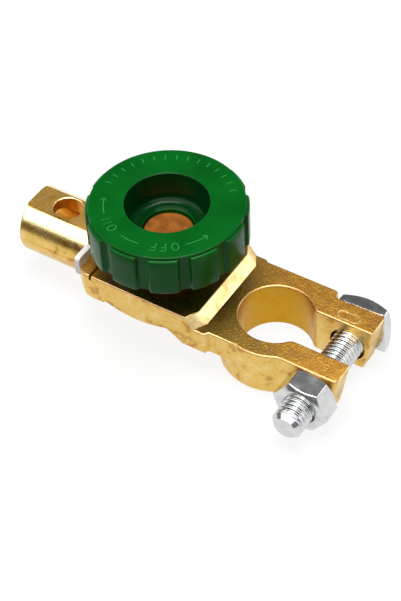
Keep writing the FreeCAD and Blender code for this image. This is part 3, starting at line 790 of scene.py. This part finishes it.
fastenerValues = {
    "flats": 13.0, "chamferDeg": 30.0, "samples": 240, "mergeMm": 0.0005,
    "sinkMm": 0.55,  # countersink of the nut's thread
    "edgeMm": 0.12, "segments": 2, "fromDeg": 20, "sharpDeg": 32,
    "head": {"sides": 4, "turnDeg": 3.5, "cornerMm": 0.8, "crownShare": 0.93},
    "nut": {"sides": 6, "turnDeg": -4.5, "cornerMm": 0.25, "crownShare": 0.88},
}
threadValues = {
    "crestR": 3.98, "rootR": 3.38, "pitch": 1.25,
    "crestShare": 0.08, "rootShare": 0.40,  # where a flank starts and ends, in pitches from the crest
    "leadMm": 1.1, "leadTipR": 2.9, "plainEndMm": 1.0,
    "overlapMm": 1.0,  # how far the thread runs into the head
    "rowsPerPitch": 18, "around": 144, "sharpDeg": 60, "nearMm": 0.01,
}


def rimRadius(angle, sides, corner):
    apothem = fastenerValues["flats"] / 2
    half = math.pi / sides
    fromFlat = abs((angle + half) % (2 * half) - half)
    if apothem * math.tan(fromFlat) <= (apothem - corner) * math.tan(half):
        return apothem / math.cos(fromFlat)
    reach = (apothem - corner) / math.cos(half)
    aside = reach * math.sin(half - fromFlat)
    return reach * math.cos(half - fromFlat) + math.sqrt(corner ** 2 - aside ** 2)


def crownedPiece(name, kind, yInner, yOuter, holeR=0.0):
    # a hole makes it a nut, which has both ends turned and the thread's mouth countersunk
    v = {**fastenerValues, **fastenerValues[kind]}
    isNut = holeR > 0
    sink = v["sinkMm"] if isNut else 0
    crown = v["flats"] / 2 * v["crownShare"]
    slope = math.tan(math.radians(v["chamferDeg"]))
    outward = 1 if yOuter > yInner else -1
    bm = bmesh.new()
    rows = []
    for step in range(v["samples"]):
        angle = math.tau * step / v["samples"]
        rim = rimRadius(angle - math.pi / 2 - math.radians(v["turnDeg"]), v["sides"], v["cornerMm"])
        fall = (rim - crown) * slope * mm * outward
        section = [(holeR, yOuter - sink * mm * outward)] if isNut else []
        section += [(holeR + sink, yOuter), (crown, yOuter), (rim, yOuter - fall)]
        section += [(rim, yInner + (fall if isNut else 0)), (crown, yInner), (holeR, yInner)]
        rows.append([
            bm.verts.new((
                boltAxis.x + r * mm * math.cos(angle), y, boltAxis.z + r * mm * math.sin(angle)
            )) for r, y in section
        ])
    skinRows(bm, rows, isNut)
    bmesh.ops.remove_doubles(bm, verts=bm.verts, dist=v["mergeMm"] * mm)
    bmesh.ops.dissolve_degenerate(bm, edges=bm.edges, dist=v["mergeMm"] * mm)
    bmesh.ops.recalc_face_normals(bm, faces=bm.faces)
    piece = newObject(name, freshMesh(bm, name))
    return roundEdges(piece, v["edgeMm"], v["segments"], v["fromDeg"], v["sharpDeg"])


def threadTree(labels):
    tree, size = newTree("rolledThread", labels)
    blank = addNode(
        tree, "GeometryNodeMeshCylinder",
        {"Vertices": size["Around"], "Side Segments": size["Rows"], "Radius": size["Crest radius"],
         "Depth": size["Length"]},
        fill_type="TRIANGLE_FAN",
    )
    place = addNode(tree, "GeometryNodeInputPosition")
    parts = addNode(tree, "ShaderNodeSeparateXYZ", (place,)).outputs
    height = addNode(tree, "ShaderNodeMath", (size["Length"], 0.5, parts["Z"]), operation="MULTIPLY_ADD")
    # groove: its depth follows the distance from the nearest crest, in pitches
    angle = addNode(tree, "ShaderNodeMath", (parts["Y"], parts["X"]), operation="ARCTAN2")
    turn = addNode(tree, "ShaderNodeMath", (angle, math.tau), operation="DIVIDE")
    pitches = addNode(tree, "ShaderNodeMath", (height, size["Pitch"]), operation="DIVIDE")
    turns = addNode(tree, "ShaderNodeMath", (pitches, turn), operation="SUBTRACT")
    fromCrest = addNode(tree, "ShaderNodeMath", (turns, 0.5), operation="PINGPONG")
    fullDepth = addNode(
        tree, "ShaderNodeMath", (size["Crest radius"], size["Root radius"]), operation="SUBTRACT"
    )
    depth = addNode(
        tree, "ShaderNodeMapRange", (fromCrest, size["Crest end"], size["Root start"], 0.0, fullDepth),
        interpolation_type="SMOOTHSTEP",
    )
    runInEnd = addNode(tree, "ShaderNodeMath", (size["Plain end"], size["Pitch"]), operation="ADD")
    runIn = addNode(
        tree, "ShaderNodeMapRange", (height, size["Plain end"], runInEnd, 0.0, 1.0),
        interpolation_type="SMOOTHSTEP",
    )
    groove = addNode(tree, "ShaderNodeMath", (depth, runIn), operation="MULTIPLY")
    ridge = addNode(tree, "ShaderNodeMath", (size["Crest radius"], groove), operation="SUBTRACT")
    # both ends taper
    fromTop = addNode(tree, "ShaderNodeMath", (size["Length"], height), operation="SUBTRACT")
    fromEnd = addNode(tree, "ShaderNodeMath", (height, fromTop), operation="MINIMUM")
    leadR = addNode(
        tree, "ShaderNodeMapRange", (fromEnd, 0.0, size["Lead"], size["Tip radius"], size["Crest radius"])
    )
    wanted = addNode(tree, "ShaderNodeMath", (ridge, leadR), operation="MINIMUM")
    flat = addNode(tree, "ShaderNodeVectorMath", (place, (1.0, 1.0, 0.0)), operation="MULTIPLY")
    radius = addNode(tree, "ShaderNodeVectorMath", (flat,), operation="LENGTH")
    share = addNode(tree, "ShaderNodeMath", (wanted, radius), operation="DIVIDE")
    shares = addNode(tree, "ShaderNodeCombineXYZ", (share, share, 1.0))
    moved = addNode(tree, "ShaderNodeVectorMath", (place, shares), operation="MULTIPLY")
    threaded = addNode(tree, "GeometryNodeSetPosition", {"Geometry": blank, "Position": moved})
    closeTree(tree, size, threaded)
    return tree


def joinInto(target, other):
    bm = bmesh.new()
    bm.from_mesh(target.data)
    own = len(bm.faces)
    bm.from_mesh(other.data)
    bm.faces.ensure_lookup_table()
    for face in bm.faces[own:]:
        face.material_index = 1
    bm.to_mesh(target.data)
    bm.free()
    bpy.data.objects.remove(other)


def makeBolt():
    v = threadValues
    jawFace = -nutHigh.y  # the jaws mirror each other, and the nut's inner face lies on the front one
    head = crownedPiece("clampBolt", "head", jawFace, boltHigh.y)
    length = jawFace - boltLow.y + v["overlapMm"] * mm
    thread = newObject("thread", bpy.data.meshes.new("thread"))
    rows = round(length / mm / v["pitch"] * v["rowsPerPitch"])
    sizes = {
        "Length": length, "Rows": float(rows), "Around": float(v["around"]), "Pitch": v["pitch"] * mm,
        "Crest radius": v["crestR"] * mm, "Root radius": v["rootR"] * mm,
        "Crest end": v["crestShare"], "Root start": v["rootShare"],
        "Lead": v["leadMm"] * mm, "Tip radius": v["leadTipR"] * mm, "Plain end": v["plainEndMm"] * mm,
    }
    runTree(thread, threadTree(sizes), sizes, rolledZincMaterial)
    along = Matrix.Rotation(math.radians(-90), 4, "X")
    middle = Vector((boltAxis.x, boltLow.y + length / 2, boltAxis.z))
    thread.data.transform(Matrix.Translation(middle) @ along)
    smoothAll(thread, v["sharpDeg"])
    for edge in thread.data.edges:  # the flat end keeps a crisp rim
        if all(thread.data.vertices[i].co.y < boltLow.y + v["nearMm"] * mm for i in edge.vertices):
            edge.use_edge_sharp = True
    joinInto(head, thread)
    dress(head, zincPlateMaterial)
    head.data.materials.append(rolledZincMaterial)
    finishPiece(head, "clamp_bolt", "zinc_steel", "clamp_bolt")


def makeNut():
    nut = crownedPiece("clampNut", "nut", nutHigh.y, nutLow.y, threadValues["crestR"])
    dress(nut, zincPlateMaterial)
    finishPiece(nut, "clamp_nut", "zinc_steel", "clamp_nut")


makeBolt()
makeNut()
print("bolt and nut done")


# Pole mark on the rear jaw: an outlined minus bar, cast proud

poleValues = {
    "x": 15.7, "y": 8.0, "z": 13.2, "length": 6.0, "width": 2.5, "strokeMm": 0.24, "sunkShare": 0.2,
    "cornerSteps": 6,
}


def makePoleMark():
    v = poleValues
    radius = v["width"] / 2
    reach = v["length"] / 2 - radius
    outline = arcPoints((reach, 0), radius, -90, 90, v["cornerSteps"])
    outline += arcPoints((-reach, 0), radius, 90, 270, v["cornerSteps"])
    outline.append(outline[0])
    jawTop = (v["z"] - v["strokeMm"] * v["sunkShare"]) * mm
    stroke = [Vector(((v["x"] + x) * mm, (v["y"] + y) * mm, jawTop)) for x, y in outline]
    mark = strokesPiece("poleMark", [stroke], v["strokeMm"], markBrassMaterial)
    finishPiece(mark, "castings", "cast_brass")


makePoleMark()


# Parting line: the thin flash that the mould's halves leave along both sides of the barrel

def makePartingLine():
    v = barrelValues
    startX = barrelLow.x + v["partingMm"] * mm
    endX = startX + v["partingLengthMm"] * mm
    lines = [
        [Vector((x, side * v["partingR"] * mm, v["partingZ"] * mm)) for x in (startX, endX)]
        for side in (-1, 1)
    ]
    flash = strokesPiece("partingLine", lines, v["partingMm"], lugBrassMaterial)
    finishPiece(flash, "castings", "cast_brass")


makePartingLine()
print("pole mark and parting line done")


# Hidden and small parts keep their CAD shape

cadFinishes = {
    "contact_screw": turnedBrassMaterial,
    "screw_bush": whiteNylonMaterial,
    "fixing_screw_front": zincPlateMaterial,
    "fixing_screw_rear": zincPlateMaterial,
    "fixing_washer_front": zincPlateMaterial,
    "fixing_washer_rear": zincPlateMaterial,
    "fixing_sleeve_front": whiteNylonMaterial,
    "fixing_sleeve_rear": whiteNylonMaterial,
}
for node, material in cadFinishes.items():
    for materialSlot in nodes[node].material_slots:
        materialSlot.material = material
print("CAD nodes dressed")


# Stage: white floor, soft lamps and the camera

stageValues = {
    "floorSize": 3.0, "paper": "#F7F7F7", "bounce": "#8C8C8C", "shadowShare": 0.13,
    "mirrorNear": -0.050, "mirrorFar": -0.085, "mirrorLevel": 0.15,  # the mirrored floor darkens to the front
    "worldDiffuse": 0.22,
    # what gloss shows of the studio behind and in front: upward part of the way, level
    "backLevels": ((0.0, 0.9), (0.24, 0.9), (0.46, 0.12), (0.66, 0.14), (0.77, 0.24)),
    "frontLevels": ((0.0, 0.06), (0.33, 0.06), (0.38, 1.0), (0.88, 1.0), (0.94, 0.15)),
    "windowLevel": 2.6,
    "windowFrom": -0.06, "windowTo": -0.14,  # the front window starts this far towards -Y
    "darkMiddle": -0.35, "darkFrom": 0.35, "darkTo": 0.6, "asideLevel": 0.3,  # the dark card is narrow in X
    "lamps": {  # power in watts, size in metres, way from the object, distance, whether gloss shows it
        "keyLamp": (3.9, 0.34, (-0.02, 0.08, 0.98), 0.62, True),
        "frontSoftbox": (1.2, 0.50, (-0.44, -0.63, 0.64), 0.60, False),
        "backPanel": (0.54, 0.34, (0.80, 0.57, 0.20), 0.60, True),
    },
}


def makeFloor():
    v = stageValues
    bm = bmesh.new()
    bmesh.ops.create_grid(bm, x_segments=1, y_segments=1, size=v["floorSize"] / 2)
    floor = newObject("floor", freshMesh(bm, "floor"))
    floor.data.transform(Matrix.Translation((0, 0, cadBox[0][2])))
    material, tree, shader = newMaterial("whiteSweep")
    tree.nodes.remove(shader)
    rays = addNode(tree, "ShaderNodeLightPath").outputs
    direct = addNode(
        tree, "ShaderNodeMath", (rays["Is Camera Ray"], rays["Is Transmission Ray"]), operation="MAXIMUM"
    )
    seen = addNode(tree, "ShaderNodeMath", (direct, rays["Is Glossy Ray"]), operation="MAXIMUM")
    share = addNode(tree, "ShaderNodeMath", (seen, 1 - v["shadowShare"]), operation="MULTIPLY")
    place = addNode(tree, "ShaderNodeTexCoord").outputs["Object"]
    forward = addNode(tree, "ShaderNodeSeparateXYZ", (place,)).outputs["Y"]
    fading = addNode(
        tree, "ShaderNodeMapRange", (forward, v["mirrorFar"], v["mirrorNear"], v["mirrorLevel"], 1.0),
        interpolation_type="SMOOTHSTEP",
    )
    level = addNode(tree, "ShaderNodeMix", {"Factor": rays["Is Glossy Ray"], "A": 1.0, "B": fading})
    color = addNode(
        tree, "ShaderNodeMix", {"Factor": seen, "A": v["bounce"], "B": v["paper"]}, data_type="RGBA"
    )
    dimmed = addNode(tree, "ShaderNodeVectorMath", {0: color, "Scale": level}, operation="SCALE")
    paper = addNode(tree, "ShaderNodeBsdfDiffuse", {"Color": dimmed})
    white = addNode(tree, "ShaderNodeEmission", {"Color": (1, 1, 1, 1), "Strength": level})
    mixed = addNode(tree, "ShaderNodeMixShader", (share, paper, white))
    setInputs(tree.nodes["Material Output"], {"Surface": mixed})
    dress(floor, material)


def makeWorld():
    v = stageValues
    world = bpy.data.worlds.new("studio")
    scene.world = world
    world.use_nodes = True
    tree = world.node_tree
    way = addNode(tree, "ShaderNodeTexCoord").outputs["Generated"]
    parts = addNode(tree, "ShaderNodeSeparateXYZ", (way,)).outputs
    back, front = (
        addNode(
            tree, "ShaderNodeValToRGB", (parts["Z"],),
            stops=[(height, (level, level, level, 1.0)) for height, level in v[side]],
        )
        for side in ("backLevels", "frontLevels")
    )
    shifted = addNode(tree, "ShaderNodeMath", (parts["X"], v["darkMiddle"]), operation="SUBTRACT")
    fromMiddle = addNode(tree, "ShaderNodeMath", (shifted,), operation="ABSOLUTE")
    aside = addNode(
        tree, "ShaderNodeMapRange", (fromMiddle, v["darkFrom"], v["darkTo"], 0.0, v["asideLevel"])
    )
    glow = addNode(tree, "ShaderNodeMath", (front, v["windowLevel"]), operation="MULTIPLY")
    window = addNode(tree, "ShaderNodeMath", (glow, aside), operation="MAXIMUM")
    toFront = addNode(tree, "ShaderNodeMapRange", (parts["Y"], v["windowFrom"], v["windowTo"], 0.0, 1.0))
    grey = addNode(tree, "ShaderNodeMix", {"Factor": toFront, "A": back, "B": window})
    rays = addNode(tree, "ShaderNodeLightPath").outputs
    plain = addNode(
        tree, "ShaderNodeMix", {"Factor": rays["Is Camera Ray"], "A": v["worldDiffuse"], "B": 1.0}
    )
    shown = addNode(tree, "ShaderNodeMix", {"Factor": rays["Is Glossy Ray"], "A": plain, "B": grey})
    setInputs(tree.nodes["Background"], {"Color": (1, 1, 1, 1), "Strength": shown})


def makeLamp(name, power, size, aim, distance, inGloss):
    lamp = bpy.data.lights.new(name, "AREA")
    lamp.shape = "SQUARE"
    lamp.size = size
    lamp.energy = power
    holder = newObject(name, lamp)
    holder.visible_glossy = inGloss
    centre = (Vector(cadBox[0]) + Vector(cadBox[1])) / 2
    way = Vector(aim).normalized()
    holder.location = centre + way * distance
    holder.rotation_euler = way.to_track_quat("Z", "Y").to_euler()


cameraValues = {
    "azimuth": 34.53, "elevation": 46.40, "roll": -3.06, "distance": 407.23, "target": (-22.22, 0.0, 6.02),
    "lens": 96.6, "clipStart": 0.01,
}


def makeCamera():
    v = cameraValues
    azimuth, elevation, roll = (math.radians(v[k]) for k in ("azimuth", "elevation", "roll"))
    back = Vector((
        math.sin(azimuth) * math.cos(elevation), -math.cos(azimuth) * math.cos(elevation), math.sin(elevation)
    ))
    level = Vector((math.cos(azimuth), math.sin(azimuth), 0))
    upward = back.cross(level)
    right = level * math.cos(roll) + upward * math.sin(roll)
    top = upward * math.cos(roll) - level * math.sin(roll)
    eye = Vector(v["target"]) * mm + back * v["distance"] * mm
    camera = newObject("camera", bpy.data.cameras.new("camera"))
    camera.data.lens = v["lens"]
    camera.data.clip_start = v["clipStart"]
    camera.matrix_world = Matrix((
        (right.x, top.x, back.x, eye.x),
        (right.y, top.y, back.y, eye.y),
        (right.z, top.z, back.z, eye.z),
        (0, 0, 0, 1),
    ))
    scene.camera = camera


makeFloor()
makeWorld()
for lampName, lampSizes in stageValues["lamps"].items():
    makeLamp(lampName, *lampSizes)
makeCamera()
scene.view_settings.view_transform = "Standard"
print("stage done")
